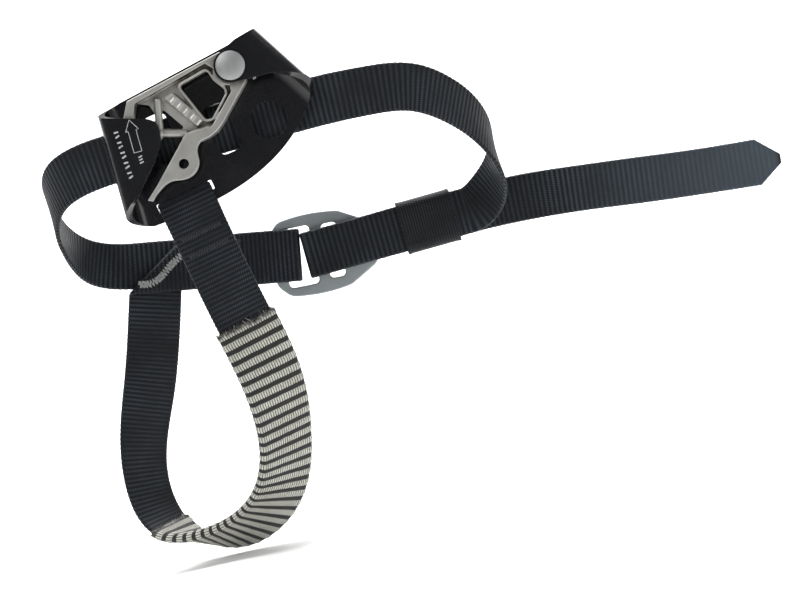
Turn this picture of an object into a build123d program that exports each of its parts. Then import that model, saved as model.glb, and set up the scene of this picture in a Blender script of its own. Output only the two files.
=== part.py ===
"""Foot ascender for the left boot: a toothed cam in a folded sheet frame, on an ankle strap and a foot strap.

Axes: +Z runs up the climbing rope, +X points across the frame towards the cam axle, +Y points to the boot.
The origin is on the rope axis, at mid-height of the folded rope channel. Lengths are in millimetres.
"""

from build123d import *
from math import atan2, cos, degrees, pi, radians, sin, tan
import os

os.makedirs("parts", exist_ok=True)

# ---------------------------------------------------------------- driving dimensions
SHEET = 3.0              # thickness of the folded aluminium sheet
CHANNEL = 14.0           # clear depth between the front flaps and the back plate
BEND_IN = CHANNEL / 2    # inner radius of both folds
BEND_OUT = BEND_IN + SHEET
RUN = 0.05               # clearance of turning fits, on the radius and end to end

AXLE = (52.2, 30.0)      # cam axle, as X and Z
RIVET_R = 3.0            # rivet shank
SLEEVE_R = 4.0           # outside of the steel sleeve that the cam turns on
HEAD_R = 6.35            # rivet head
EYE_R = 7.3              # end of the right flap, round the rivet

WEB = 2.0                # webbing thickness
ANKLE_W = 22.0           # ankle webbing width
FOOT_W = 25.0            # foot webbing width
LAYER = WEB + 0.1        # spacing of two webbing layers that lie together
NEAR_Y = BEND_OUT + 0.2 + WEB / 2    # ankle strap centre, behind the back plate

BUCKLE_T = 2.6           # buckle plate thickness
BUCKLE_Y = 82.0          # front face of the buckle
FAR_Z = -57.3            # centre line of the ankle strap at the buckle and keeper
BUCKLE_AT = (67.7, -57.6)
BUCKLE_TILT = 4.0        # degrees, turned in its own plane


# ---------------------------------------------------------------- helpers
def slab(face, front, back):
    """A flat piece with its outline in X-Z, filling Y from front to back."""
    return extrude(Plane.XZ.offset(-back) * face, amount=back - front)


def disc(centre, radius, front, back):
    """A round piece on a Y axis."""
    return slab(Pos(*centre) * Circle(radius), front, back)


def polygon(points, corner=0.0):
    """A closed outline with straight sides and equally rounded corners."""
    face = make_face(Polyline(*points, close=True))
    return fillet(face.vertices(), corner) if corner else face


def rod(start, end, radius):
    """A round bar between two points."""
    start = Vector(*start)
    end = Vector(*end)
    along = end - start
    return extrude(Plane(start, z_dir=along) * Circle(radius), amount=along.length)


def through(ends, turn):
    """The quadratic that takes three values at turn 0, 1/2 and 1."""
    first, middle, last = ends
    swing = 2 * turn - 1
    return middle + (last - first) / 2 * swing + ((first + last) / 2 - middle) * swing**2


def bend(low, high, steps=10):
    """A half-round fold of the sheet about Z, bulging towards -X.

    low and high hold the heights of the two cut edges at the front, the middle and the back of the fold.
    """
    sections = []
    for step in range(steps + 1):
        turn = step / steps
        angle = pi * turn
        outward = Vector(-sin(angle), -cos(angle), 0)
        bottom = through(low, turn)
        top = through(high, turn)
        plane = Plane((0, 0, 0), x_dir=outward, z_dir=outward.cross(Vector(0, 0, 1)))
        strip = Pos(BEND_IN + SHEET / 2, (bottom + top) / 2) * Rectangle(SHEET, top - bottom)
        sections.append(plane * strip)
    return loft(Sketch() + sections)


def strap_run(path_points, corner, width, thickness=WEB):
    """Webbing that follows a flat path in X-Y, standing on edge along Z."""
    path = FilletPolyline(*path_points, radius=corner)
    return extrude(trace(path, line_width=thickness), amount=width / 2, both=True)


def ribbon(stations, width, thickness, start, finish):
    """Webbing through free space, with its four long edges as smooth curves.

    Each station is a centre and the direction across the webbing there; start and finish are
    the directions of travel at the two ends.
    """
    centres = [Vector(*centre) for centre, _ in stations]
    last = len(stations) - 1
    corners = [[], [], [], []]
    for index, (_, across) in enumerate(stations):
        travel = centres[min(index + 1, last)] - centres[max(index - 1, 0)]
        if index == 0:
            travel = Vector(*start)
        if index == last:
            travel = Vector(*finish)
        travel = travel.normalized()
        across = Vector(*across)
        across = (across - travel * across.dot(travel)).normalized() * (width / 2)
        outward = travel.cross(across).normalized() * (thickness / 2)
        for corner, (side, layer) in zip(corners, ((-1, -1), (1, -1), (1, 1), (-1, 1))):
            corner.append(centres[index] + across * side + outward * layer)
    ends = (Vector(*start).normalized(), Vector(*finish).normalized())
    edges = [Edge.make_spline(corner, tangents=ends, scale=False) for corner in corners]
    faces = [Face.make_surface_from_curves(edges[i], edges[(i + 1) % 4]) for i in range(4)]
    for end in (0, -1):
        faces.append(Face(Wire.make_polygon([corner[end] for corner in corners])))
    return Solid(Shell(faces))


# ---------------------------------------------------------------- folded frame
FOLD_LEAN = 32.2                           # lean of the right fold from the rope, degrees
FOLD_TOP = (58.3, 38.6)                    # its bend axis, level with the frame's top right corner
FOLD_TOP_CUT = (-2.3, 0.0, -3.5)           # cut edges along that axis: front, middle, back
FOLD_LOW_CUT = (19.1, 32.5, 39.2)
ROPE_TOP_CUT = (20.9, 25.2, 29.0)          # cut edges of the rope channel's fold
ROPE_LOW_CUT = (-12.4, -21.5, -27.4)

STRAP_SLOT = (10.8, 22.5)                  # the two tall windows over the ankle strap
STRAP_SLOTS_AT = ((14.0, 8.8), (40.5, 6.1))
SLOT_LEAN = 8.7
ROUND_WINDOW = (61.5, 4.2)
ROUND_WINDOW_R = 8.3
FOOT_SLOT = (26.6, 4.3)                    # the slot that the foot strap passes through
FOOT_SLOT_SHIFT = 0.35                     # its centre, beside the strap's
FOOT_SLOT_AT = (16.6, -18.6)               # the strap's centre in it
FOOT_SLOT_TILT = 9.6


def along_fold(distance):
    """A point on the right fold's bend axis, as X and Z."""
    lean = radians(FOLD_LEAN)
    return (FOLD_TOP[0] + distance * sin(lean), FOLD_TOP[1] - distance * cos(lean))


def frame_plate():
    """One sheet: back plate, rope channel on the left, axle fold on the right, each with a front flap."""
    top = (0, ROPE_TOP_CUT[2])
    low = (0, ROPE_LOW_CUT[2])
    fold_top = along_fold(FOLD_TOP_CUT[2])
    fold_low = along_fold(FOLD_LOW_CUT[2])
    rim = [
        Spline(low, (20, -25.2), (41.4, -20.4), (62, -10.9), fold_low),
        Polyline(fold_low, fold_top, top, low),
    ]
    back = slab(make_face(rim), BEND_IN, BEND_OUT)

    flap_top = (0, ROPE_TOP_CUT[0])
    flap_low = (0, ROPE_LOW_CUT[0])
    left_edge = [
        Line(flap_top, (10.2, 17.8)),
        ThreePointArc((10.2, 17.8), (13.9, 15.6), (15.2, 11.4)),
        Spline((15.2, 11.4), (13.6, 5.2), (9.2, -1.7), flap_low),
        Line(flap_low, flap_top),
    ]
    left_flap = slab(make_face(left_edge), -BEND_OUT, -BEND_IN)

    lean = radians(19)
    eye_top = (AXLE[0] - EYE_R * sin(lean), AXLE[1] + EYE_R * cos(lean))
    eye_left = (AXLE[0] - EYE_R, AXLE[1])
    eye_low = (AXLE[0] - 0.6, AXLE[1] - EYE_R)
    axle_edge = [
        Line(along_fold(FOLD_TOP_CUT[0]), eye_top),
        ThreePointArc(eye_top, eye_left, eye_low),
        Polyline(eye_low, along_fold(FOLD_LOW_CUT[0]), along_fold(FOLD_TOP_CUT[0])),
    ]
    right_flap = slab(make_face(axle_edge), -BEND_OUT, -BEND_IN)

    rope_fold = bend(ROPE_LOW_CUT, ROPE_TOP_CUT)
    fold_frame = Pos(FOLD_TOP[0], 0, FOLD_TOP[1]) * Rot(0, 180 - FOLD_LEAN, 0)
    axle_fold = fold_frame * bend(FOLD_TOP_CUT, FOLD_LOW_CUT)
    frame = back + left_flap + right_flap + rope_fold + axle_fold

    for place in STRAP_SLOTS_AT:
        window = fillet(Rectangle(*STRAP_SLOT).vertices(), 3.4)
        frame -= slab(Pos(*place) * Rot(0, 0, SLOT_LEAN) * window, 0, 2 * BEND_OUT)
    frame -= disc(ROUND_WINDOW, ROUND_WINDOW_R, 0, 2 * BEND_OUT)
    foot_slot = Pos(FOOT_SLOT_SHIFT, 0) * fillet(Rectangle(*FOOT_SLOT).vertices(), 0.6)
    frame -= slab(Pos(*FOOT_SLOT_AT) * Rot(0, 0, FOOT_SLOT_TILT) * foot_slot, 0, 2 * BEND_OUT)
    frame -= disc(AXLE, RIVET_R + RUN, -2 * BEND_OUT, 2 * BEND_OUT)
    frame -= disc(spring_anchor(), WIRE_R + 0.1, 0, 2 * BEND_OUT)
    return frame


# ---------------------------------------------------------------- cam axle
WASHER_T = 0.5
REAR_WASHER_T = 1.0
CAM_HALF = BEND_IN - WASHER_T - 2 * RUN    # hub end faces, in front of and behind the rope axis


def axle_rivet():
    """Large low head at the front, shank through both walls, formed tail over the rear washer."""
    head_back = -BEND_OUT
    tail_front = BEND_OUT + REAR_WASHER_T
    rim = (HEAD_R, head_back - 1.1)
    crown = (0, head_back - 2.1)
    profile = [
        ThreePointArc(crown, (HEAD_R * 0.72, head_back - 1.8), rim),
        Polyline(rim, (HEAD_R, head_back), (RIVET_R, head_back), (RIVET_R, tail_front), (4.8, tail_front),
                 (4.8, tail_front + 0.9), (4.1, tail_front + 1.6), (0, tail_front + 1.6), crown),
    ]
    return Pos(AXLE[0], 0, AXLE[1]) * revolve(make_face(profile), axis=Axis.Y)


def ring(outer, inner, front, back):
    """A washer or tube on the cam axle."""
    return disc(AXLE, outer, front, back) - disc(AXLE, inner, front - 1, back + 1)


# ---------------------------------------------------------------- cam
CAM_FRONT = -CAM_HALF
TOOTH_ROWS = 7
PAD_BARS = 5
TRIM_R = 1.75           # round ribs of the small triangular window
SPINE_R = 2.2           # thicker rib along the underside
RIB_Y = -3.3            # their centre lines
CAM_REAR = 4.4           # rear of the cam body, clear of the foot strap in its slot
GRIP_FRONT = -4.6        # the gripping side is narrower, to enter the rope channel
WEB_FRONT = -2.4         # recessed web of the casting
LIP_FRONT = -5.0         # raised lip round its large window
LIP_W = 1.25
PAD_FRONT = -4.0         # raised pad with its row of bars
WEB_REAR = 1.0
HUB_R = 7.7
SPRING_ROOM = 6.5        # pocket for the torsion spring, round the hub's rear boss
BOSS_R = 4.95
ARM_REAR = -2.4
WIRE_R = 0.6             # torsion spring
SPRING_R = 5.72
SPRING_TURNS = 2.25
SPRING_PITCH = 1.4
SPRING_FRONT = 2.0       # centre of the first turn
SPRING_TWIST = 252       # turns the legs to their places, degrees
CAM_LEG = 17.0
FRAME_LEG = 8.5
CORD_EYE = (21.1, -5.2)
CORD_EYE_R = 2.2
TEETH_AT_TOP = (1.0, 20.5)       # toothed face: top, middle and bottom
TEETH_AT_MIDDLE = (-3.0, 8.5)
TEETH_AT_BOTTOM = (-3.6, -4.0)


def tooth(place, outward):
    """One small pointed tooth on the gripping face."""
    return Plane(place, z_dir=outward) * Pos(0, 0, 0.5) * Cone(0.95, 0.2, 2.2)


def cam():
    """Steel casting: hub, raised rim, thin web with windows, two round ribs, toothed face, lever arm."""
    grip = ThreePointArc(TEETH_AT_TOP, TEETH_AT_MIDDLE, TEETH_AT_BOTTOM)
    body = make_face([
        Polyline((57.5, 36.2), (48.5, 37.3), (4.5, 27.6), TEETH_AT_TOP),
        grip,
        Polyline(TEETH_AT_BOTTOM, (0.4, -6.2), (14.0, 8.8), (24.0, 5.4), (31.1, 2.3), (35.2, 3.0),
                 (39.3, 4.8), (43.0, 8.0), (56.6, 21.9), (59.4, 29.5), (57.5, 36.2)),
    ])
    recess = make_face([
        Polyline((43.6, 27.6), (44.4, 31.3), (41.5, 34.2), (7.6, 25.6), (3.6, 16.0), (2.0, 4.5), (8.0, -6.0),
                 (24.6, 6.4), (28.8, 7.4), (37.4, 7.4), (49.2, 19.4), (49.4, 22.4)),
        ThreePointArc((49.4, 22.4), (45.6, 24.2), (43.6, 27.6)),
    ])
    web = polygon([
        (24.0, 5.6), (17.4, 10.8), (13.0, 23.6), (6.0, 26.4), (45.0, 36.0), (52.0, 24.0), (36.0, 5.0)])
    keyhole = polygon([
        (28.2, 27.9), (41.4, 31.2), (43.0, 26.4), (46.6, 21.4), (46.4, 19.2), (38.2, 10.6),
        (35.4, 10.9)], 1.2)
    triangle = polygon([(18.2, 20.6), (25.8, 9.4), (15.5, 12.4)], 0.7)

    steel = slab(body - recess, CAM_FRONT, CAM_REAR)
    steel += slab(web - keyhole - triangle, WEB_FRONT, WEB_REAR)
    steel += slab(offset(keyhole, LIP_W) - keyhole, LIP_FRONT, WEB_FRONT)
    pad = polygon([(20.4, 24.3), (24.6, 26.0), (34.8, 11.4), (30.9, 9.0)], 0.8)
    steel += slab(pad, PAD_FRONT, WEB_FRONT)
    for step in range(PAD_BARS):
        middle = (23.6 + 2.2 * step, 22.4 - 3.1 * step)
        bar = Pos(*middle) * Rot(0, 0, 35) * SlotOverall(3.6, 0.9)
        steel += slab(bar, PAD_FRONT - 0.3, WEB_FRONT)

    corner = (14.6, RIB_Y, 10.6)
    steel += rod((17.4, RIB_Y, 25.2), corner, TRIM_R)
    steel += rod((26.0, RIB_Y, 7.2), corner, TRIM_R)
    steel += rod((0.0, RIB_Y + 1, -1.8), corner, SPINE_R)
    steel += Pos(corner) * Sphere(SPINE_R)

    steel += disc(AXLE, HUB_R, CAM_FRONT, CAM_REAR)
    steel -= ring(SPRING_ROOM, BOSS_R, WEB_REAR, 2 * CAM_REAR)
    steel += disc(AXLE, BOSS_R, WEB_REAR, CAM_HALF)
    leg_groove = Pos(AXLE[0] - 7.8, AXLE[1] + 3.45) * Rot(0, 0, 18) * Rectangle(9.5, 2.6)
    steel -= slab(leg_groove, WEB_REAR, 2 * CAM_REAR)
    steel -= disc(AXLE, SLEEVE_R + RUN, -2 * CAM_HALF, 2 * CAM_HALF)

    grip_side = Pos(-5, 5) * Rectangle(11, 40)
    steel -= slab(grip_side, CAM_FRONT - 1, GRIP_FRONT)

    arm = make_face([
        Polyline((36.0, 7.6), (25.5, 7.4), (7.4, -11.2), (1.6, -16.4), (3.8, -17.4)),
        Spline((3.8, -17.4), (8.9, -13.1), (14.1, -11.2), (20.5, -11.9), (25.9, -9.4), (27.9, -5.4),
               (28.4, -0.7), (31.1, 2.3), (35.2, 3.0)),
        Line((35.2, 3.0), (36.0, 7.6)),
    ])
    steel += slab(arm, CAM_FRONT, ARM_REAR)
    steel -= disc(CORD_EYE, CORD_EYE_R, CAM_FRONT - 1, CAM_REAR + 1)

    for row in range(TOOTH_ROWS):
        share = 0.08 + 0.84 * row / (TOOTH_ROWS - 1)
        point = grip @ share
        travel = grip % share
        outward = Vector(travel.Y, 0, -travel.X)
        columns = (-2.4, 0, 2.4) if row % 2 else (-3.6, -1.2, 1.2, 3.6)
        for depth in columns:
            steel += tooth((point.X, depth, point.Y), outward)
    return steel


def spring_anchor():
    """Where the spring's fixed leg hooks into the back plate, as X and Z."""
    twist = radians(SPRING_TWIST)
    start = (-SPRING_R * sin(twist), -SPRING_R * cos(twist))
    return (AXLE[0] + start[0] - FRAME_LEG * cos(twist), AXLE[1] + start[1] + FRAME_LEG * sin(twist))


def torsion_spring():
    """Coil round the hub's boss, one leg under the cam's top rim, the other hooked into the back plate."""
    height = SPRING_TURNS * SPRING_PITCH
    coil_path = Helix(pitch=SPRING_PITCH, height=height, radius=SPRING_R)
    spring = sweep(Plane(coil_path @ 0, z_dir=coil_path % 0) * Circle(WIRE_R), path=coil_path, is_frenet=True)
    knuckle = Sphere(WIRE_R * 1.1)
    leg_r = WIRE_R * 0.97
    spring += rod((SPRING_R, 0, 0), (SPRING_R, -CAM_LEG, 0), leg_r) + Pos(SPRING_R, 0, 0) * knuckle
    elbow = (SPRING_R, FRAME_LEG, height)
    hook_end = (SPRING_R, FRAME_LEG, BEND_OUT - 0.5 - SPRING_FRONT)
    frame_leg = rod((SPRING_R, 0, height), elbow, leg_r) + rod(elbow, hook_end, leg_r)
    frame_leg += Pos(SPRING_R, 0, height) * knuckle + Pos(*elbow) * knuckle
    spring += Rot(0, 0, 360 * SPRING_TURNS) * frame_leg
    return Pos(AXLE[0], SPRING_FRONT, AXLE[1]) * Rot(-90, 0, 0) * Rot(0, 0, SPRING_TWIST) * spring


# ---------------------------------------------------------------- buckle
def buckle_plate():
    """Flat alloy buckle: three bars and two slots, square at the foot strap end, tapered at the other."""
    outline = make_face([
        Polyline((-19.5, -18.0), (-25.3, -12.0), (-25.3, 12.0), (-19.5, 18.0)),
        ThreePointArc((-19.5, 18.0), (-5.0, 19.4), (10.0, 18.0)),
        Polyline((10.0, 18.0), (25.3, 9.5), (25.3, -9.5), (10.0, -18.0)),
        ThreePointArc((10.0, -18.0), (-5.0, -19.4), (-19.5, -18.0)),
    ])
    outline = fillet(outline.vertices(), 7.0)
    left_slot = fillet(Rectangle(14.2, 28).vertices(), 2.0)
    right_slot = fillet(Rectangle(7.4, 26).vertices(), 2.0)
    face = outline - Pos(-12.1, 0) * left_slot - Pos(4.3, 0) * right_slot
    face = Pos(*BUCKLE_AT) * Rot(0, 0, -BUCKLE_TILT) * face
    plate = slab(face, BUCKLE_Y, BUCKLE_Y + BUCKLE_T)
    flat = plate.faces().sort_by(Axis.Y)
    return chamfer(flat[0].edges() + flat[-1].edges(), 0.5)


# ---------------------------------------------------------------- ankle strap
BAND_Y = 78.2            # inner layer of the far side
TAIL_Y = 80.7            # tail, lying between that layer and the buckle's right bar
LOOP_END_X = 138.0       # where the straight far side ends and the band turns back to the near side
KEEPER_X = (106.0, 132.0)
KEEPER_T = 1.4


def ankle_strap():
    """Webbing from the sewn junction, behind the frame, round the ankle, through the buckle, to the tail."""
    upright = (0, 0, 1)
    round_ankle = [
        (LOOP_END_X, BAND_Y, FAR_Z), (149, 74, -52), (156, 61, -41), (153.7, 45, -24), (141, 28.5, -7.5),
        (124.4, 17.2, 2.4), (106, 12.4, 5.3), (86, NEAR_Y, 6.5), (64, NEAR_Y, 6.6), (42, NEAR_Y, 6.6),
        (20, NEAR_Y, 6.6), (0, NEAR_Y, 6.6), (-18, 12.6, 6.3), (-35, 20.5, 3.5), (-45.0, 36, -4.5),
        (-46.5, 52, -17), (-44.5, 67, -26.5), (-38, 79, -34), (-27.5, 84.8, -38.4), (-13, 85.4, -41.5),
        (1.5, 85.3, -44.3),
    ]
    loop = ribbon([(point, upright) for point in round_ankle], ANKLE_W, WEB, (1, 0, 0), (1, 0, -0.18))

    left_turn = BUCKLE_AT[0] - 8.1
    threaded = strap_run([
        (LOOP_END_X, BAND_Y), (left_turn, BAND_Y), (left_turn, BUCKLE_Y + BUCKLE_T + 1.9),
        (BUCKLE_AT[0] + 1.5, BUCKLE_Y + BUCKLE_T + 1.9), (BUCKLE_AT[0] + 6.2, TAIL_Y), (LOOP_END_X, TAIL_Y),
    ], 1.6, ANKLE_W)
    threaded = Pos(0, 0, FAR_Z) * threaded

    tail_points = [
        (LOOP_END_X, TAIL_Y, FAR_Z), (160, 81.2, -58), (197, 82.5, -62), (236, 84, -67.5), (278, 85, -72.5),
    ]
    tail = ribbon([(point, upright) for point in tail_points], ANKLE_W, WEB, (1, 0, 0), (1, 0.02, -0.1))
    tip_centre = Vector(*tail_points[-1])
    point = polygon([(-0.2, -11), (-0.2, 11), (11, 2), (11, -2)])
    tip = Pos(tip_centre) * Rot(0, 5.7, 0) * slab(point, -WEB / 2, WEB / 2)
    return loop + threaded + tail + tip


def strap_keeper():
    """Elastic sleeve over the two layers of ankle webbing; it slides along them."""
    low_y = BAND_Y - WEB / 2 - 0.3
    high_y = TAIL_Y + WEB / 2 + 0.3
    middle = (low_y + high_y) / 2
    depth = high_y - low_y
    inside = fillet(Rectangle(depth, ANKLE_W + 0.8).vertices(), 0.3)
    outside = fillet(Rectangle(depth + 2 * KEEPER_T, ANKLE_W + 0.8 + 2 * KEEPER_T).vertices(), 1.4)
    start = Plane((KEEPER_X[0], middle, FAR_Z), x_dir=(0, 1, 0), z_dir=(1, 0, 0))
    return extrude(start * (outside - inside), amount=KEEPER_X[1] - KEEPER_X[0])


# ---------------------------------------------------------------- foot strap
RUN_FALL = 11.1              # fall of the short run from the junction to the buckle, degrees
FRONT_Y = BUCKLE_Y - 0.2 - WEB / 2
BEHIND_Y = BUCKLE_Y + BUCKLE_T + 0.2 + WEB / 2
JUNCTION = (-11.0, -42.8)    # where the centre lines of the two runs cross
HANG_LEAN = 18.0             # lean of the hanging run from the rope, degrees
HANG_Y = FRONT_Y + LAYER
FLAT = 16.0                  # length of each run that is still flat beside the fold

SLOT_FRONT_Y = BEND_IN - 0.1 - WEB / 2
SLOT_REAR_Y = BEND_OUT + 0.1 + WEB / 2
SLOT_RUN = 27.0              # flat length below the slot's centre

SLEEVE_W = 28.5              # woven tube over the part that lies under the boot
SLEEVE_T = 4.8
SLEEVE_TOP_Z = -77.0
SLEEVE_END = (-37.0, 73.0, -162.0)

# the foot loop between its two flat ends: centre, and direction across the webbing
UNDER_BOOT = [
    ((-29.2, 82.5, -96), (0.90, 0.30, -0.31)),
    ((-41.6, 80.0, -132), (0.75, 0.60, -0.24)),
    (SLEEVE_END, (0.70, 0.68, -0.18)),
    ((-11.0, 60, -173), (0.52, 0.72, -0.46)),
    ((15.0, 45, -162), (0.58, 0.69, -0.42)),
    ((29.4, 26, -134), (0.72, 0.66, -0.18)),
    ((31.5, 13, -105), (0.94, 0.32, 0.05)),
    ((26.9, 8.0, -77), (0.97, 0.05, 0.22)),
]


def turned(point, angle, origin):
    """A point given along and above a line that falls by an angle, as X and Z."""
    angle = radians(angle)
    along, above = point
    x = origin[0] + along * cos(angle) + above * sin(angle)
    z = origin[1] - along * sin(angle) + above * cos(angle)
    return (x, z)


def foot_loop(width, thickness):
    """The hanging run, the part under the boot and the near run, up to the frame's slot."""
    lean = radians(HANG_LEAN)
    tilt = radians(FOOT_SLOT_TILT)
    down = (-sin(lean), 0, -cos(lean))
    up_slot = (-sin(tilt), 0, cos(tilt))
    hang_end = turned((FLAT, 0), 90 + HANG_LEAN, JUNCTION)
    slot_x, slot_z = turned((0, -SLOT_RUN), -FOOT_SLOT_TILT, FOOT_SLOT_AT)
    slot_end = (slot_x, SLOT_FRONT_Y, slot_z)
    stations = [((hang_end[0], HANG_Y, hang_end[1]), (cos(lean), 0, -sin(lean)))]
    stations += UNDER_BOOT
    stations += [(slot_end, (cos(tilt), 0, sin(tilt)))]
    return ribbon(stations, width, thickness, down, up_slot)


def folded_corner():
    """The diagonal fold at the junction: a run in front, a run behind, and the turned edge between them."""
    half = FOOT_W / 2
    reach = half / tan(radians(45 + (RUN_FALL - HANG_LEAN) / 2))
    low = turned((-reach, -half), RUN_FALL, JUNCTION)
    high = turned((reach, half), RUN_FALL, JUNCTION)
    beside = [turned((FLAT, half), RUN_FALL, JUNCTION), turned((FLAT, -half), RUN_FALL, JUNCTION)]
    below = [turned((FLAT, -half), 90 + HANG_LEAN, JUNCTION), turned((FLAT, half), 90 + HANG_LEAN, JUNCTION)]
    in_front = slab(polygon([low, high, *beside]), FRONT_Y - WEB / 2, FRONT_Y + WEB / 2)
    behind = slab(polygon([high, low, *below]), HANG_Y - WEB / 2, HANG_Y + WEB / 2)
    fold_y = (FRONT_Y + HANG_Y) / 2
    edge = rod((low[0], fold_y, low[1]), (high[0], fold_y, high[1]), (LAYER + WEB) / 2)
    return in_front + behind + edge


def foot_strap():
    """Webbing from the buckle to the junction, folded down, under the boot and up to the frame's slot."""
    bar_end = 67.9
    buckle_run = strap_run([
        (FLAT, FRONT_Y), (bar_end, FRONT_Y), (bar_end, BEHIND_Y),
        (52.0, BEHIND_Y), (42.0, HANG_Y), (22.0, HANG_Y),
    ], 2.0, FOOT_W)
    buckle_run = Pos(JUNCTION[0], 0, JUNCTION[1]) * Rot(0, RUN_FALL, 0) * buckle_run

    tilt = radians(FOOT_SLOT_TILT)
    slot_plane = Plane((FOOT_SLOT_AT[0], 0, FOOT_SLOT_AT[1]), x_dir=(-sin(tilt), 0, cos(tilt)),
                       z_dir=(cos(tilt), 0, sin(tilt)))
    sewn_y = SLOT_FRONT_Y + LAYER
    slot_turn = strap_run([
        (-SLOT_RUN, -SLOT_FRONT_Y), (1.1, -SLOT_FRONT_Y), (1.1, -SLOT_REAR_Y), (-8.0, -SLOT_REAR_Y),
        (-14.5, -sewn_y), (-28.0, -sewn_y),
    ], 1.3, FOOT_W)
    return buckle_run + folded_corner() + foot_loop(FOOT_W, WEB) + slot_plane * slot_turn


def wear_sleeve():
    """Woven tube, open at both ends, that the foot strap runs through under the boot."""
    tube = foot_loop(SLEEVE_W, SLEEVE_T) - foot_loop(FOOT_W + 0.8, WEB + 0.7)
    tube &= Pos(0, 40, SLEEVE_TOP_Z - 100) * Box(200, 200, 200)
    return split(tube, bisect_by=Plane(SLEEVE_END, z_dir=(0.85, -0.25, -0.46)), keep=Keep.TOP)


# ---------------------------------------------------------------- sewing
THREAD_T = 0.35              # how far a stitch stands proud


def stitch_row(path, front_y, count, length, lean):
    """Thread bars lying side by side across a path in X-Z, on a surface that faces the front."""
    bars = []
    for index in range(count):
        share = (index + 0.5) / count
        place = path @ share
        travel = path % share
        slope = degrees(atan2(travel.Y, travel.X))
        bar = Pos(place.X, place.Y) * Rot(0, 0, slope + 90 + lean * (-1) ** index) * SlotOverall(length, 0.6)
        bars.append(slab(bar, front_y - THREAD_T, front_y))
    return Compound(bars)


def junction_bar_tack():
    """Pale zigzag tack through the diagonal fold and the end of the ankle strap."""
    path = Spline((-20.6, -50.0), (-10.2, -48.2), (2.2, -40.6))
    return stitch_row(path, FRONT_Y - WEB / 2, 26, 2.8, 12)


def buckle_loop_stitches():
    """Two rows that close the loop round the buckle's left bar."""
    rows = []
    for along in (32.0, 40.0):
        ends = [turned((along, above), RUN_FALL, JUNCTION) for above in (-9.5, 9.5)]
        rows.append(stitch_row(Line(*ends), FRONT_Y - WEB / 2, 14, 2.0, 0))
    return Compound(rows)


def frame_loop_stitches():
    """Two rows that close the loop through the frame's bottom slot."""
    rows = []
    tilt = FOOT_SLOT_TILT
    for below in (17.0, 25.0):
        ends = [turned((across, -below), -tilt, FOOT_SLOT_AT) for across in (-9.5, 9.5)]
        rows.append(stitch_row(Line(*ends), SLOT_FRONT_Y - WEB / 2, 14, 2.0, 0))
    return Compound(rows)


# ---------------------------------------------------------------- write the parts
PARTS = {
    "frame_plate": frame_plate,
    "axle_rivet": axle_rivet,
    "rivet_washer": lambda: ring(6.0, RIVET_R + RUN, BEND_OUT, BEND_OUT + REAR_WASHER_T),
    "pivot_sleeve": lambda: ring(SLEEVE_R, RIVET_R + RUN, -BEND_IN, BEND_IN),
    "thrust_washer_front": lambda: ring(6.5, SLEEVE_R + RUN, -BEND_IN + RUN, -BEND_IN + RUN + WASHER_T),
    "thrust_washer_rear": lambda: ring(6.5, SLEEVE_R + RUN, BEND_IN - RUN - WASHER_T, BEND_IN - RUN),
    "cam": cam,
    "torsion_spring": torsion_spring,
    "buckle_plate": buckle_plate,
    "ankle_strap": ankle_strap,
    "strap_keeper": strap_keeper,
    "foot_strap": foot_strap,
    "wear_sleeve": wear_sleeve,
    "junction_bar_tack": junction_bar_tack,
    "buckle_loop_stitches": buckle_loop_stitches,
    "frame_loop_stitches": frame_loop_stitches,
}


def write_parts():
    for name, make in PARTS.items():
        export_step(make(), f"parts/{name}.step")


write_parts()
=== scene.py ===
"""Looks of the left foot ascender: ribbed webbing, striped woven sleeve, cast and anodised metal, thread."""

from math import cos, pi, radians, sin, sqrt, tan

import bpy
import numpy as np
from mathutils import Matrix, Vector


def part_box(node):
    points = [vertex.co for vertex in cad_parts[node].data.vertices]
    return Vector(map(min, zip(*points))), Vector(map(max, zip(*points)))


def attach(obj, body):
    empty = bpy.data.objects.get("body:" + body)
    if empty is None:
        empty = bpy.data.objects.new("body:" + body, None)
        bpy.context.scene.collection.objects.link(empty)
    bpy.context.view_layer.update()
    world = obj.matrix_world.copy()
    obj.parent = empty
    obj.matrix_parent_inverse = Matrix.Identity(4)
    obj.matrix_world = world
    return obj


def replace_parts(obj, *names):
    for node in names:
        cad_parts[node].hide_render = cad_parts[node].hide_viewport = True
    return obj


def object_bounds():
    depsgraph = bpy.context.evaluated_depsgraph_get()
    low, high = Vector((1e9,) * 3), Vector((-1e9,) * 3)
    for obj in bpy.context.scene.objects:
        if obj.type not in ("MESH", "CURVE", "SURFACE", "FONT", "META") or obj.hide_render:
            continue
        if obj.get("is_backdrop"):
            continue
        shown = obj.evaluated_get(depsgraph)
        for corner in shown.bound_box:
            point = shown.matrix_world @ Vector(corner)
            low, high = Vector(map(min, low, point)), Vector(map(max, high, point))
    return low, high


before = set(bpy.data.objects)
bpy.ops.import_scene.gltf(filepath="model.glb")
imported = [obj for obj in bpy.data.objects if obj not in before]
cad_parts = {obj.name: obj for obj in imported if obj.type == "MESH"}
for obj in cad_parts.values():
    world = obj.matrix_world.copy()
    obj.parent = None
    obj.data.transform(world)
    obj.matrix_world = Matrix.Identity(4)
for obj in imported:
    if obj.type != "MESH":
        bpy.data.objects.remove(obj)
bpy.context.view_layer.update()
MM = 0.001


# ---------------------------------------------------------------- measures taken from the frame, in mm
def low(node):
    return np.array(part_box(node)[0]) / MM


def high(node):
    return np.array(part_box(node)[1]) / MM


def middle(node):
    return (low(node) + high(node)) / 2


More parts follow.
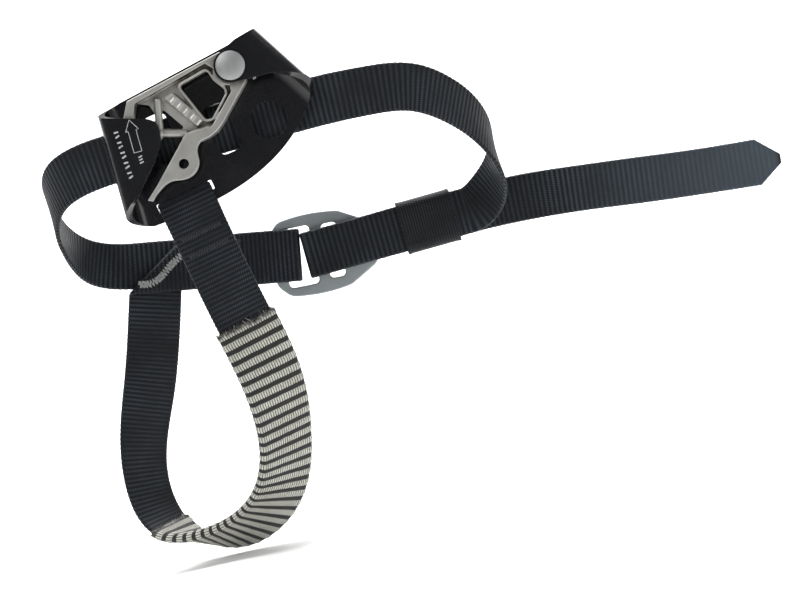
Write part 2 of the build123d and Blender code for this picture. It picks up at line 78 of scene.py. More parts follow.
WEB = 2.0                        # webbing thickness
LAYER = WEB + 0.1                # spacing of two layers that lie together
ANKLE_W = 22.0
FOOT_W = 25.0
SHEET = 3.0
FLAP_FRONT = low("frame_plate")[1]
BACK_FACE = high("frame_plate")[1]
BEND_OUT = BACK_FACE             # outer radius of the rope channel's fold, whose axis is the origin
NEAR_Y = BACK_FACE + 0.2 + WEB / 2
BUCKLE_FRONT = low("buckle_plate")[1]
BUCKLE_BACK = high("buckle_plate")[1]
BUCKLE_X = middle("buckle_plate")[0]
KEEPER_LOW = low("strap_keeper")
KEEPER_HIGH = high("strap_keeper")
FAR_Z = middle("strap_keeper")[2]
BAND_Y = middle("strap_keeper")[1] - 1.25
TAIL_Y = BAND_Y + 2.5
LOOP_END_X = KEEPER_HIGH[0] + 6


# ---------------------------------------------------------------- curves
def unit(vectors):
    vectors = np.asarray(vectors, float)
    return vectors / np.linalg.norm(vectors, axis=-1, keepdims=True)


def smooth(rows, start=None, finish=None, step=0.5):
    """A cubic spline through rows of x, y, z and anything carried along, with optional end directions."""
    rows = np.array(rows, float)
    gaps = np.linalg.norm(np.diff(rows[:, :3], axis=0), axis=1)
    count = len(rows)
    slopes = np.eye(count)
    right = np.zeros_like(rows)
    for i in range(1, count - 1):
        slopes[i, i - 1:i + 2] = (1 / gaps[i - 1], 2 / gaps[i - 1] + 2 / gaps[i], 1 / gaps[i])
        right[i] = 3 * ((rows[i] - rows[i - 1]) / gaps[i - 1]**2 + (rows[i + 1] - rows[i]) / gaps[i]**2)
    for end, inner, gap, given in ((0, 1, gaps[0], start), (count - 1, count - 2, gaps[-1], finish)):
        right[end] = (rows[inner] - rows[end]) / gap * (1 if end == 0 else -1)
        if given is not None:
            right[end, :3] = unit(given)
    slope = np.linalg.solve(slopes, right)
    pieces = []
    for i in range(count - 1):
        t = np.linspace(0, 1, max(2, int(gaps[i] / step)), endpoint=False)[:, None]
        pieces.append((1 + 2 * t) * (1 - t)**2 * rows[i] + t * (1 - t)**2 * gaps[i] * slope[i]
                      + t**2 * (3 - 2 * t) * rows[i + 1] + t**2 * (t - 1) * gaps[i] * slope[i + 1])
    return np.vstack(pieces + [rows[-1:]])


def rounded(points, radius, step=0.4):
    """Straight lines through flat points, with round corners."""
    points = np.array(points, float)
    path = [points[0]]
    for before, corner, after in zip(points, points[1:], points[2:]):
        into, out = unit(corner - before), unit(after - corner)
        turn = np.arccos(np.clip(into @ out, -1, 1))
        reach = radius * tan(turn / 2)
        centre = corner - into * reach + unit(out - into * (into @ out)) * radius
        arm = corner - into * reach - centre
        for share in np.linspace(0, 1, max(3, int(radius * turn / step) + 2)):
            angle = turn * share
            path.append(centre + arm * cos(angle) + into * radius * sin(angle))
    path.append(points[-1])
    return np.array(path)


def evenly(rows, step):
    """The same path, sampled at even distances; also gives the distances."""
    gaps = np.linalg.norm(np.diff(rows[:, :3], axis=0), axis=1)
    keep = np.concatenate([[True], gaps > 1e-6])
    rows = rows[keep]
    at = np.concatenate([[0], np.cumsum(gaps[keep[1:]])])
    even = np.linspace(0, at[-1], int(at[-1] / step) + 1)
    return np.stack([np.interp(even, at, column) for column in rows.T], 1), even


def turned(along, above, angle, origin):
    """A point along and above a line that falls by an angle, as X and Z."""
    x = origin[0] + along * cos(angle) + above * sin(angle)
    z = origin[1] - along * sin(angle) + above * cos(angle)
    return np.array([x, z])


# ---------------------------------------------------------------- meshes
def piece(name, vertices, faces, material, slot, body="frame", uv=None):
    """A mesh object that rides on a body; vertices are in mm, and uv holds one pair for each vertex."""
    mesh = bpy.data.meshes.new(name)
    mesh.from_pydata((np.asarray(vertices) * MM).tolist(), [], [list(f) for f in faces])
    mesh.shade_smooth()
    if uv is not None:
        layer = mesh.uv_layers.new(name="cloth")
        corners = np.zeros(len(mesh.loops), np.int32)
        mesh.loops.foreach_get("vertex_index", corners)
        layer.data.foreach_set("uv", (np.asarray(uv)[corners] * MM).astype(np.float32).ravel())
    mesh.materials.append(material)
    mesh.update()
    obj = bpy.data.objects.new(name, mesh)
    bpy.context.scene.collection.objects.link(obj)
    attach(obj, body)
    return obj


def grid_faces(rows, columns):
    """Quads between rows of vertices, closed round each row, with a cap at both ends."""
    a = np.arange(rows - 1)[:, None] * columns
    b = np.arange(columns)[None, :]
    c = (b + 1) % columns
    quads = np.stack([a + b, a + c, a + columns + c, a + columns + b], -1).reshape(-1, 4).tolist()
    quads.append(list(range(columns))[::-1])
    quads.append([(rows - 1) * columns + i for i in range(columns)])
    return quads


def webbing_section(width, thickness, columns, roundness=3):
    """Points round a flat band with soft edges: across, out, and which way each one faces."""
    half, deep = width / 2, thickness / 2
    flat = np.linspace(-(half - deep), half - deep, columns)
    arc = np.linspace(0, pi, roundness + 2)[1:-1]
    bulge = half - deep + deep * np.sin(arc)
    fall = deep * np.cos(arc)
    face = np.full(columns, deep)
    across = np.concatenate([flat, bulge, flat[::-1], -bulge])
    out = np.concatenate([face, fall, -face, -fall])
    facing = out / deep
    return across, out, facing


def strip_points(rows, across, out, width_scale=None):
    """Sweeps a section along rows of centre and across direction."""
    centre = rows[:, :3]
    travel = unit(np.gradient(centre, axis=0))
    side = rows[:, 3:6] - travel * np.sum(rows[:, 3:6] * travel, 1, keepdims=True)
    side = unit(side)
    outward = np.cross(side, travel)
    scale = np.ones(len(rows)) if width_scale is None else width_scale
    return (centre[:, None, :] + side[:, None, :] * (across[None, :] * scale[:, None])[..., None]
            + outward[:, None, :] * out[..., None])


def tube(path, radius, sides):
    """Vertices and faces of a thread or wire along a path."""
    path = np.asarray(path, float)
    travel = unit(np.gradient(path, axis=0))
    helper = np.array([0.0, 1.0, 0.0]) if abs(travel[0][1]) < 0.9 else np.array([1.0, 0.0, 0.0])
    side = unit(np.cross(travel, helper))
    lift = np.cross(side, travel)
    angle = np.linspace(0, 2 * pi, sides, endpoint=False)
    radius = np.broadcast_to(radius, len(path))
    ring = (side[:, None] * np.cos(angle)[None, :, None] + lift[:, None] * np.sin(angle)[None, :, None])
    points = path[:, None] + ring * radius[:, None, None]
    return points.reshape(-1, 3), grid_faces(len(path), sides)


def joined(parts):
    """One list of vertices and faces from several."""
    vertices, faces, start = [], [], 0
    for points, polygons in parts:
        vertices.append(points)
        faces += [[i + start for i in polygon] for polygon in polygons]
        start += len(points)
    return np.vstack(vertices), faces


# ---------------------------------------------------------------- materials
class Recipe:
    """A material whose nodes are added by name; a value or another node's output fills each input."""

    def __init__(self, name):
        self.material = bpy.data.materials.new(name)
        self.material.use_nodes = True
        self.tree = self.material.node_tree
        self.shader = self.tree.nodes["Principled BSDF"]

    def fill(self, socket, value):
        if isinstance(value, bpy.types.NodeSocket):
            self.tree.links.new(value, socket)
        elif hasattr(socket.default_value, "__len__") and not hasattr(value, "__len__"):
            socket.default_value = [value] * len(socket.default_value)
        else:
            socket.default_value = value

    def add(self, kind, *values, output=0, **settings):
        node = self.tree.nodes.new("ShaderNode" + kind)
        named = settings.pop("inputs", {})
        for key, value in settings.items():
            setattr(node, key, value)
        for index, value in enumerate(values):
            self.fill(node.inputs[index], value)
        for key, value in named.items():
            self.fill(node.inputs[key], value)
        return node.outputs[output]

    def math(self, operation, *values):
        return self.add("Math", *values, operation=operation)

    def noise(self, scale, detail, place=None):
        where = place if place is not None else self.add("TexCoord", output=3)
        return self.add("TexNoise", inputs={"Vector": where, "Scale": scale, "Detail": detail})

    def ramp(self, value, *stops):
        node = self.tree.nodes.new("ShaderNodeValToRGB")
        self.tree.links.new(value, node.inputs[0])
        while len(node.color_ramp.elements) < len(stops):
            node.color_ramp.elements.new(0.5)
        for element, (place, shade) in zip(node.color_ramp.elements, stops):
            element.position = place
            element.color = (*shade, 1) if hasattr(shade, "__len__") else (shade, shade, shade, 1)
        return node.outputs[0]

    def parts(self, vector):
        """The X, Y and Z of a vector."""
        node = self.tree.nodes.new("ShaderNodeSeparateXYZ")
        self.tree.links.new(vector, node.inputs[0])
        return node.outputs

    def mix(self, share, first, second, how="MIX"):
        node = self.tree.nodes.new("ShaderNodeMix")
        node.data_type = "RGBA"
        node.blend_type = how
        for socket, value in ((node.inputs[0], share), (node.inputs[6], first), (node.inputs[7], second)):
            if not isinstance(value, bpy.types.NodeSocket) and hasattr(value, "__len__"):
                value = (*value, 1)
            self.fill(socket, value)
        return node.outputs[2]

    def bump(self, height, strength, distance=0.1 * MM, below=None):
        named = {"Height": height, "Strength": strength, "Distance": distance}
        if below is not None:
            named["Normal"] = below
        return self.add("Bump", inputs=named)

    def edges(self, radius, low_share, high_share):
        """White on worn edges: where a rounded normal differs from the true one."""
        soft = self.add("Bevel", inputs={"Radius": radius}, samples=6)
        true = self.add("NewGeometry", output=1)
        alike = self.add("VectorMath", soft, true, operation="DOT_PRODUCT", output=1)
        return self.ramp(self.math("SUBTRACT", 1.0, alike), (low_share, 0.0), (high_share, 1.0))

    def cavity(self, distance):
        """White in recesses."""
        open_sky = self.add("AmbientOcclusion", inputs={"Distance": distance}, samples=6, output=1)
        return self.math("SUBTRACT", 1.0, open_sky)

    def finish(self, color, roughness, metallic=0.0, normal=None, **others):
        values = {"Base Color": color, "Roughness": roughness, "Metallic": metallic}
        values.update({key.replace("_", " "): value for key, value in others.items()})
        for key, value in values.items():
            if key == "Base Color" and not isinstance(value, bpy.types.NodeSocket):
                value = (*value, 1)
            self.fill(self.shader.inputs[key], value)
        if normal is not None:
            self.fill(self.shader.inputs["Normal"], normal)
        return self.material


def cloth_place(recipe):
    """Distance along and across the cloth, in metres."""
    uv = recipe.add("UVMap", uv_map="cloth")
    along, across, _ = recipe.parts(uv)
    return uv, along, across


def waves(recipe, distance, period):
    """A 0-to-1 cosine wave of a distance."""
    turns = recipe.math("MULTIPLY", distance, 2 * pi / (period * MM))
    return recipe.math("MULTIPLY_ADD", recipe.math("COSINE", turns), 0.5, 0.5)


def webbing_material(name, tint, rib, yarn, faded_end=None):
    """Black webbing: yarn floats over the ribs, a painted sheen highlight that makes the crests paler, dusty
    patches and, on a tail, a faded end.
    """
    recipe = Recipe(name)
    uv, along, across = cloth_place(recipe)
    turn = recipe.math("MULTIPLY", along, pi / (rib * MM))
    crest = recipe.math("ABSOLUTE", recipe.math("SINE", turn))
    row = recipe.math("MULTIPLY", recipe.math("FLOOR", recipe.math("MULTIPLY", along, 1 / (rib * MM))), pi)
    slot_turn = recipe.math("MULTIPLY_ADD", across, 2 * pi / (yarn * MM), row)
    strand = recipe.math("MULTIPLY_ADD", recipe.math("COSINE", slot_turn), 0.5, 0.5)
    cloud = recipe.noise(40, 4)
    grain = recipe.add("TexNoise", inputs={
        "Vector": recipe.add("VectorMath", uv, (700.0, 2600.0, 1.0), operation="MULTIPLY"),
        "Scale": 1.0, "Detail": 3.0})
    dark = tuple(0.35 * c for c in tint)
    # pale: colour of the painted highlight on the rib crests
    pale = tuple(9 * c for c in tint)
    body = recipe.mix(recipe.ramp(grain, (0.3, 0.0), (0.75, 1.0)), dark, tint)
    # painted highlight: rib crests lightened where the yarn floats cross them, varied in patches
    painted_crest_highlight = recipe.math("MULTIPLY", recipe.ramp(crest, (0.55, 0.0), (1.0, 1.0)), strand)
    shine = recipe.math("MULTIPLY", painted_crest_highlight, recipe.ramp(cloud, (0.32, 0.12), (0.68, 1.0)))
    body = recipe.mix(shine, body, pale)
    lint = recipe.ramp(recipe.noise(2400, 2), (0.72, 0.0), (0.80, 0.5))
    body = recipe.mix(lint, body, tuple(10 * c for c in tint))
    if faded_end is not None:
        fade_start = faded_end - 105
        fade = recipe.add("MapRange", along, fade_start * MM, faded_end * MM, 0.0, 0.75)
        body = recipe.mix(fade, body, (0.060, 0.078, 0.095))
        melted = recipe.add("MapRange", along, (faded_end - 2.5) * MM, (faded_end - 0.5) * MM, 0.0, 1.0)
        body = recipe.mix(melted, body, (0.012, 0.012, 0.013))
    height = recipe.math("MULTIPLY_ADD", strand, 0.6, recipe.math("MULTIPLY", grain, 0.7))
    normal = recipe.bump(height, 0.7, 0.14 * MM)
    rough = recipe.ramp(grain, (0.2, 0.40), (0.8, 0.62))
    return recipe.finish(body, rough, normal=normal, Sheen_Weight=0.03, Sheen_Roughness=0.4,
                         Specular_IOR_Level=0.18)


STRIPE = 5.2                     # one pale and one black stripe, mm
PALE_SHARE = 0.6
FLOAT = 1.2                      # spacing of the lengthwise yarn floats across the sleeve
FLOAT_STEP = 0.30                # how much further the crest of each float reaches than its sides


def striped_material():
    """Woven tube: cream floats side by side in bands, black yarn between; painted shade between the floats;
    soiled, and burnt at its ends.
    """
    recipe = Recipe("striped_sleeve")
    uv, along, across = cloth_place(recipe)
    turn = recipe.math("MULTIPLY", across, 2 * pi / (FLOAT * MM))
    strand = recipe.math("MULTIPLY_ADD", recipe.math("COSINE", turn), 0.5, 0.5)
    drift = recipe.math("MULTIPLY", recipe.math("SUBTRACT", recipe.noise(220, 2), 0.5), 0.5 * MM)
    stepped = recipe.math("MULTIPLY_ADD", strand, FLOAT_STEP * MM, recipe.math("ADD", along, drift))
    stripe = waves(recipe, stepped, STRIPE)
    grain = recipe.add("TexNoise", inputs={
        "Vector": recipe.add("VectorMath", uv, (700.0, 3200.0, 1.0), operation="MULTIPLY"),
        "Scale": 1.0, "Detail": 4.0})
    fibre = recipe.ramp(grain, (0.3, 0.0), (0.7, 1.0))
    cream = recipe.mix(fibre, (0.30, 0.30, 0.26), (0.70, 0.70, 0.64))
    # painted shade: cream darkened in the grooves between the floats
    cream = recipe.mix(recipe.ramp(strand, (0.0, 1.0), (0.50, 0.0)), cream, (0.035, 0.033, 0.027))
    black = recipe.mix(fibre, (0.0025, 0.0022, 0.0022), (0.009, 0.008, 0.008))
    edge = 0.5 - 0.5 * cos(pi * (1 - PALE_SHARE))
    body = recipe.mix(recipe.ramp(stripe, (edge, 0.0), (edge + 0.08, 1.0)), black, cream)
    soil = recipe.ramp(recipe.noise(70, 5), (0.42, 0.0), (0.75, 0.35))
    body = recipe.mix(soil, body, (0.52, 0.50, 0.42), "MULTIPLY")
    burnt = recipe.add("Attribute", output=2, attribute_name="burnt")
    body = recipe.mix(burnt, body, recipe.ramp(recipe.noise(900, 3), (0.46, (0.006, 0.006, 0.006)),
                                               (0.72, (0.20, 0.19, 0.15))))
    normal = recipe.bump(recipe.math("MULTIPLY_ADD", strand, 0.3, grain), 0.6, 0.14 * MM)
    rough = recipe.math("MULTIPLY_ADD", burnt, -0.45, 0.75)
    return recipe.finish(body, rough, normal=normal, Sheen_Weight=0.04, Sheen_Roughness=0.5)


def thread_material(name, tint):
    recipe = Recipe(name)
    fleck = recipe.noise(3500, 3)
    body = recipe.mix(recipe.ramp(fleck, (0.3, 0.0), (0.7, 1.0)), tuple(0.6 * c for c in tint), tint)
    # painted shade: thread darker in the recesses
    body = recipe.mix(recipe.cavity(0.6 * MM), body, tuple(0.3 * c for c in tint))
    return recipe.finish(body, 0.55, normal=recipe.bump(fleck, 0.5), Sheen_Weight=0.2)


def anodised_material():
    """Glossy black anodising: orange peel, fine scratches, bare metal on worn edges, duller cut faces."""
    recipe = Recipe("black_anodised")
    worn = recipe.math("MULTIPLY", recipe.edges(0.25 * MM, 0.04, 0.2),
                       recipe.ramp(recipe.noise(420, 4), (0.50, 0.0), (0.68, 0.8)))
    cloud = recipe.noise(45, 4)
    body = recipe.mix(cloud, (0.0030, 0.0033, 0.0045), (0.0065, 0.0070, 0.0090))
    true_normal = recipe.add("NewGeometry", output=3)
    cut = recipe.ramp(recipe.parts(true_normal)[2], (0.55, 0.0), (0.75, 1.0))      # faces that look up
    body = recipe.mix(cut, body, (0.045, 0.048, 0.050))
    body = recipe.mix(worn, body, (0.36, 0.37, 0.38))
    place = recipe.add("TexCoord", output=3)
    stretched = recipe.add("VectorMath", place, (1.0, 1.0, 14.0), operation="MULTIPLY")
    scratches = recipe.ramp(recipe.noise(900, 2, stretched), (0.62, 0.0), (0.70, 1.0))
    rough = recipe.math("ADD", recipe.ramp(cloud, (0.3, 0.12), (0.75, 0.22)),
                        recipe.math("MULTIPLY", scratches, 0.14))
    rough = recipe.math("MAXIMUM", rough, recipe.math("MULTIPLY", cut, 0.6))
    shine = recipe.math("MULTIPLY_ADD", cut, -0.45, 0.5)
    peel = recipe.bump(recipe.noise(700, 2), 0.10, 0.05 * MM)
    normal = recipe.bump(scratches, 0.06, 0.02 * MM, peel)
    return recipe.finish(body, rough, metallic=recipe.math("MULTIPLY", worn, 0.9), normal=normal,
                         Specular_IOR_Level=shine)


def cast_material():
    """Satin investment casting: sandy skin, brown tarnish and painted shade in the recesses, brighter rubbed
    edges.
    """
    recipe = Recipe("cast_steel")
    # brown tarnish and painted shade: darker in the recesses
    deep = recipe.ramp(recipe.cavity(3.0 * MM), (0.16, 0.0), (0.50, 1.0))
    cloud = recipe.noise(160, 5)
    sand = recipe.noise(2600, 3)
    body = recipe.mix(cloud, (0.30, 0.295, 0.28), (0.47, 0.465, 0.44))
    tarnish_and_shade = recipe.math("MULTIPLY", deep, recipe.ramp(recipe.noise(300, 4), (0.35, 0.55), (0.65, 1.0)))
    body = recipe.mix(tarnish_and_shade, body, (0.085, 0.066, 0.042))
    body = recipe.mix(recipe.ramp(sand, (0.60, 0.0), (0.75, 0.35)), body, (0.75, 0.74, 0.70))
    rubbed = recipe.edges(0.4 * MM, 0.02, 0.14)
    body = recipe.mix(recipe.math("MULTIPLY", rubbed, 0.4), body, (0.62, 0.61, 0.58))
    rough = recipe.math("MULTIPLY_ADD", sand, 0.25, 0.36)
    skin = recipe.bump(sand, 0.35, 0.06 * MM)
    normal = recipe.bump(recipe.noise(500, 3), 0.25, 0.10 * MM, skin)
    return recipe.finish(body, rough, metallic=0.92, normal=normal)


def turned_steel(name, tint, centre=None):
    """Satin steel with faint marks round an axle, small dents and painted shade in its recesses."""
    recipe = Recipe(name)
    place = recipe.add("TexCoord", output=3)
    if centre is not None:
        place = recipe.add("VectorMath", place, tuple(centre * MM), operation="SUBTRACT")
        place = recipe.add("VectorMath", place, (1.0, 0.0, 1.0), operation="MULTIPLY")
        radius = recipe.add("VectorMath", place, operation="LENGTH", output=1)
        fine = recipe.math("MULTIPLY", radius, 9000.0)
        rings = recipe.noise(1.0, 4, recipe.add("CombineXYZ", fine, 0.0, 0.0))
    else:
        rings = recipe.noise(1800, 3)
    cloud = recipe.noise(260, 5)
    body = recipe.mix(cloud, tuple(0.75 * c for c in tint), tint)
    # painted shade: darker brown in the recesses
    body = recipe.mix(recipe.ramp(recipe.cavity(0.8 * MM), (0.3, 0.0), (0.8, 0.8)), body, (0.08, 0.07, 0.06))
    rough = recipe.math("MULTIPLY_ADD", cloud, 0.25, 0.44)
    dents = recipe.bump(recipe.noise(380, 2), 0.25, 0.15 * MM)
    return recipe.finish(body, rough, metallic=1.0, normal=recipe.bump(rings, 0.18, 0.03 * MM, dents))


def buckle_material():
    """Matte bead-blasted alloy: fine grain, pale scuffed edges, faint grey patches."""
    recipe = Recipe("buckle_alloy")
    grain = recipe.noise(4200, 3)
    cloud = recipe.noise(90, 4)
    body = recipe.mix(cloud, (0.23, 0.255, 0.262), (0.34, 0.37, 0.38))
    scuffs = recipe.math("MULTIPLY", recipe.edges(0.4 * MM, 0.02, 0.2), recipe.ramp(recipe.noise(300, 3),
                                                                                    (0.4, 0.1), (0.65, 0.9)))
    body = recipe.mix(scuffs, body, (0.62, 0.65, 0.66))
    rough = recipe.math("MULTIPLY_ADD", grain, 0.2, 0.40)
    return recipe.finish(body, rough, metallic=0.75, normal=recipe.bump(grain, 0.3, 0.05 * MM))


def print_material():
    """Pale ink, thin in places."""
    recipe = Recipe("flap_print")
    thin = recipe.ramp(recipe.noise(1500, 3), (0.3, 0.25), (0.5, 1.0))
    body = recipe.mix(thin, (0.10, 0.10, 0.11), (0.50, 0.51, 0.52))
    return recipe.finish(body, 0.5)


# ---------------------------------------------------------------- metal pieces: CAD nodes, finished
def dress(node, material):
    """Gives a CAD node one material."""
    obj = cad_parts[node]
    obj.data.materials.clear()
    obj.data.materials.append(material)
    return obj


def crisp_edges(obj, width, angle=28):
    """Welds the CAD facets, clears flat ones, and gives every hard edge a small true radius."""
    weld = obj.modifiers.new("weld", "WELD")
    weld.merge_threshold = 0.002 * MM
    flat = obj.modifiers.new("flat", "DECIMATE")
    flat.decimate_type = "DISSOLVE"
    flat.angle_limit = radians(0.6)
    bevel = obj.modifiers.new("bevel", "BEVEL")
    bevel.width = width
    bevel.segments = 3
    bevel.limit_method = "ANGLE"
    bevel.angle_limit = radians(angle)
    bevel.harden_normals = True
    normals = obj.modifiers.new("normals", "WEIGHTED_NORMAL")
    normals.keep_sharp = True


def cast_edges(obj, voxel, rounds):
    """Rounds every edge and inner corner as a casting has them."""
    remesh = obj.modifiers.new("remesh", "REMESH")
    remesh.mode = "VOXEL"
    remesh.voxel_size = voxel
    remesh.use_smooth_shade = True
    relax = obj.modifiers.new("relax", "SMOOTH")
    relax.factor = 0.5
    relax.iterations = rounds


def metalwork():
    black = anodised_material()
    cast = cast_material()
    axle = middle("axle_rivet")
    head = turned_steel("rivet_steel", (0.40, 0.41, 0.41), axle)
    dark_steel = turned_steel("inner_steel", (0.50, 0.50, 0.49), axle)
    wire = turned_steel("spring_wire", (0.42, 0.42, 0.43))
    crisp_edges(dress("frame_plate", black), 0.3 * MM)
    cast_edges(dress("cam", cast), 0.24 * MM, 6)
    crisp_edges(dress("axle_rivet", head), 0.3 * MM)
    crisp_edges(dress("rivet_washer", dark_steel), 0.15 * MM)
    crisp_edges(dress("pivot_sleeve", dark_steel), 0.1 * MM)
    crisp_edges(dress("thrust_washer_front", dark_steel), 0.08 * MM)
    crisp_edges(dress("thrust_washer_rear", dark_steel), 0.08 * MM)
    dress("torsion_spring", wire)
    crisp_edges(dress("buckle_plate", buckle_material()), 0.3 * MM)


# ---------------------------------------------------------------- marks printed on the front flap
def on_flap(x, z):
    """A point on the rope channel's outer face: flat right of the fold's axis, round to its left."""
    y = FLAP_FRONT if x >= 0 else -sqrt(BEND_OUT**2 - x * x)
    return (x, y, z)


def printed_line(points, width):
    """A line of ink a few hundredths of a millimetre proud of the flap."""
    path = np.array([on_flap(*p) for p in evenly(np.c_[points, np.zeros(len(points))], 0.5)[0][:, :2]])
    out = np.array([[min(x, 0) / BEND_OUT, -1.0, 0.0] for x, _, _ in path])
    out = unit(np.c_[out[:, 0], -np.sqrt(1 - out[:, 0]**2), out[:, 2]])
    travel = unit(np.gradient(path, axis=0))
    side = np.cross(out, travel) * width / 2
    lift = out * 0.03
    ring = np.stack([path - side - lift, path - side + lift, path + side + lift, path + side - lift], 1)
    return ring.reshape(-1, 3), grid_faces(len(path), 4)


def flap_marks():
    """A generic outlined arrow that points up the rope, a column of plain bars and three short dashes."""
    tip, shoulder, foot = 19.2, 14.4, 4.8            # heights of the arrow's corners
    centre, shaft, head = 3.7, 1.75, 2.9             # its middle, and half the width of shaft and head
    bars, bar_gap, bar_top = 10, 2.3, 15.5
    arrow = [(centre, tip), (centre + head, shoulder), (centre + shaft, shoulder), (centre + shaft, foot),
             (centre - shaft, foot), (centre - shaft, shoulder), (centre - head, shoulder), (centre, tip)]
    lines = [printed_line(np.array(pair), 0.28) for pair in zip(arrow, arrow[1:])]
    for index in range(bars):
        z = bar_top - bar_gap * index
        x = -3.4 + 0.12 * index
        rise = 0.7 * (index % 2)
        lines.append(printed_line(np.array([(x - 0.9, z), (x + 1.1, z + rise)]), 0.75))
    for index in range(3):
        lines.append(printed_line(np.array([(3.2, 2.4 - 1.3 * index), (4.9, 2.8 - 1.3 * index)]), 0.6))
    piece("flap_marks", *joined(lines), print_material(), slot="anodised_sheet")


# ---------------------------------------------------------------- webbing
def strap(name, blocks, along, across, material, slot_name, *nodes):
    """One webbing mesh from blocks of swept rows."""
    points = np.concatenate(blocks)
    uv = np.stack(np.broadcast_arrays(along[:, None], across[None, :]), -1).reshape(-1, 2)
    faces = grid_faces(len(points), len(across))
    obj = piece(name, points.reshape(-1, 3), faces, material, slot=slot_name, uv=uv)
    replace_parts(obj, *nodes)
    return obj


ANKLE_RIB, ANKLE_YARN = 2.4, 0.85    # spacing of the ribs along, and of the yarn floats across
FOOT_RIB, FOOT_YARN = 2.05, 1.0


def ankle_relief(along, across):
    """Round ribs straight across the webbing, with yarn floats over each one."""
    row = np.floor(along / ANKLE_RIB)
    ridge = np.abs(np.sin(pi * along / ANKLE_RIB))**0.8
    return 0.24 * ridge + 0.035 * np.cos(2 * pi * across / ANKLE_YARN + pi * row) * ridge - 0.10


def rippled(along, rib):
    """The width of webbing swells a little at each rib."""
    return 1 + 0.018 * np.abs(np.sin(pi * along / rib)) + 0.006 * np.sin(along / 9.0) - 0.009


def foot_relief(along, across):
    """Flatter ribs, each broken into a row of small floats that are staggered from rib to rib."""
    row = np.floor(along / FOOT_RIB)
    ridge = np.abs(np.sin(pi * along / FOOT_RIB))**0.6
    floats = np.cos(2 * pi * across / FOOT_YARN + pi * row)
    return 0.17 * ridge + 0.055 * floats * ridge - 0.10


ROUND_ANKLE = [
    (1.5, 85.3, -44.3), (-13, 85.4, -41.5), (-27.5, 84.8, -38.4), (-38, 79, -34), (-44.5, 67, -26.5),
    (-46.5, 52, -17), (-45, 36, -4.5), (-35, 20.5, 3.5), (-18, 12.6, 6.3), (0, NEAR_Y, 6.6),
    (20, NEAR_Y, 6.6), (42, NEAR_Y, 6.6), (64, NEAR_Y, 6.6), (86, NEAR_Y, 6.5), (106, 12.4, 5.3),
    (124.4, 17.2, 2.4), (141, 28.5, -7.5), (153.7, 45, -24), (156, 61, -41), (149, 74, -52),
    (LOOP_END_X, BAND_Y, FAR_Z),
]
TAIL = [(LOOP_END_X, TAIL_Y, FAR_Z), (160, 81.2, -58), (197, 82.5, -62), (236, 84, -67.5), (278, 85, -72.5),
        (289, 85.2, -73.6)]
TIP = 11.0                       # length of the tapered tip


def ankle_strap():
    """From the sewn junction, behind the frame, round the ankle, through the buckle, to the tail."""
    left = BUCKLE_X - 8.1            # the turn round the buckle's middle bar
    behind = BUCKLE_BACK + 1.9
    threaded = rounded([(LOOP_END_X, BAND_Y), (left, BAND_Y), (left, behind), (BUCKLE_X + 1.5, behind),
                        (BUCKLE_X + 6.2, TAIL_Y), (LOOP_END_X, TAIL_Y)], 1.6)
    threaded = np.c_[threaded, np.full(len(threaded), FAR_Z)]
    centre = np.vstack([
        smooth(ROUND_ANKLE, start=(-1, 0, 0.18), finish=(-1, 0, 0)), threaded,
        smooth(TAIL, start=(1, 0, 0), finish=(1, 0.02, -0.1))])
    rows = np.c_[centre, np.tile((0.0, 0.0, 1.0), (len(centre), 1))]
    rows, along = evenly(rows, 0.225)
    across, out, facing = webbing_section(ANKLE_W, WEB - 0.1, 50)
    raised = out + facing * ankle_relief(along[:, None], across[None, :])
    to_end = along[-1] - along
    taper = np.clip(0.2 + 0.8 * to_end / TIP, 0, 1)
    sealed = np.clip(0.55 + to_end / 6, 0, 1)        # the melted end is thinner
    raised = raised * sealed[:, None]
    tint = (0.0062, 0.0078, 0.0100)
    material = webbing_material("ankle_webbing", tint, ANKLE_RIB, ANKLE_YARN, along[-1])
    strap("ankle_webbing", [strip_points(rows, across, raised, taper * rippled(along, ANKLE_RIB))], along,
          across, material, "ankle_webbing", "ankle_strap")


RUN_FALL = radians(11.1)         # fall of the run from the junction to the buckle
HANG_LEAN = radians(18)          # lean of the hanging run from the rope
JUNCTION = np.array([-11.0, -42.8])
FRONT_Y = BUCKLE_FRONT - 0.2 - WEB / 2
HANG_Y = FRONT_Y + LAYER
BEHIND_Y = BUCKLE_BACK + 0.2 + WEB / 2
RUN_WAY = np.array([cos(RUN_FALL), -sin(RUN_FALL)])
FOLD_BEFORE, FOLD_AFTER = 17.0, 21.0

SLOT_AT = np.array([16.6, -18.6])
SLOT_TILT = radians(9.6)
SLOT_RUN = 27.0
SLOT_FRONT_Y = BACK_FACE - SHEET - 0.1 - WEB / 2
SLOT_REAR_Y = BACK_FACE + 0.1 + WEB / 2
UP_SLOT = np.array([-sin(SLOT_TILT), cos(SLOT_TILT)])

SLEEVE_W = 28.5
SLEEVE_T = 4.7
SLEEVE_TOP_Z = high("wear_sleeve")[2]
SLEEVE_END = np.array([-37.0, 73.0, -162.0])
UNDER_BOOT = [
    (-29.2, 82.5, -96, 0.90, 0.30, -0.31), (-41.6, 80.0, -132, 0.75, 0.60, -0.24),
    (*SLEEVE_END, 0.70, 0.68, -0.18), (-11.0, 60, -173, 0.52, 0.72, -0.46),
    (15.0, 45, -162, 0.58, 0.69, -0.42), (29.4, 26, -134, 0.72, 0.66, -0.18),
    (31.5, 13, -105, 0.94, 0.32, 0.05), (26.9, 8.0, -77, 0.97, 0.05, 0.22),
]


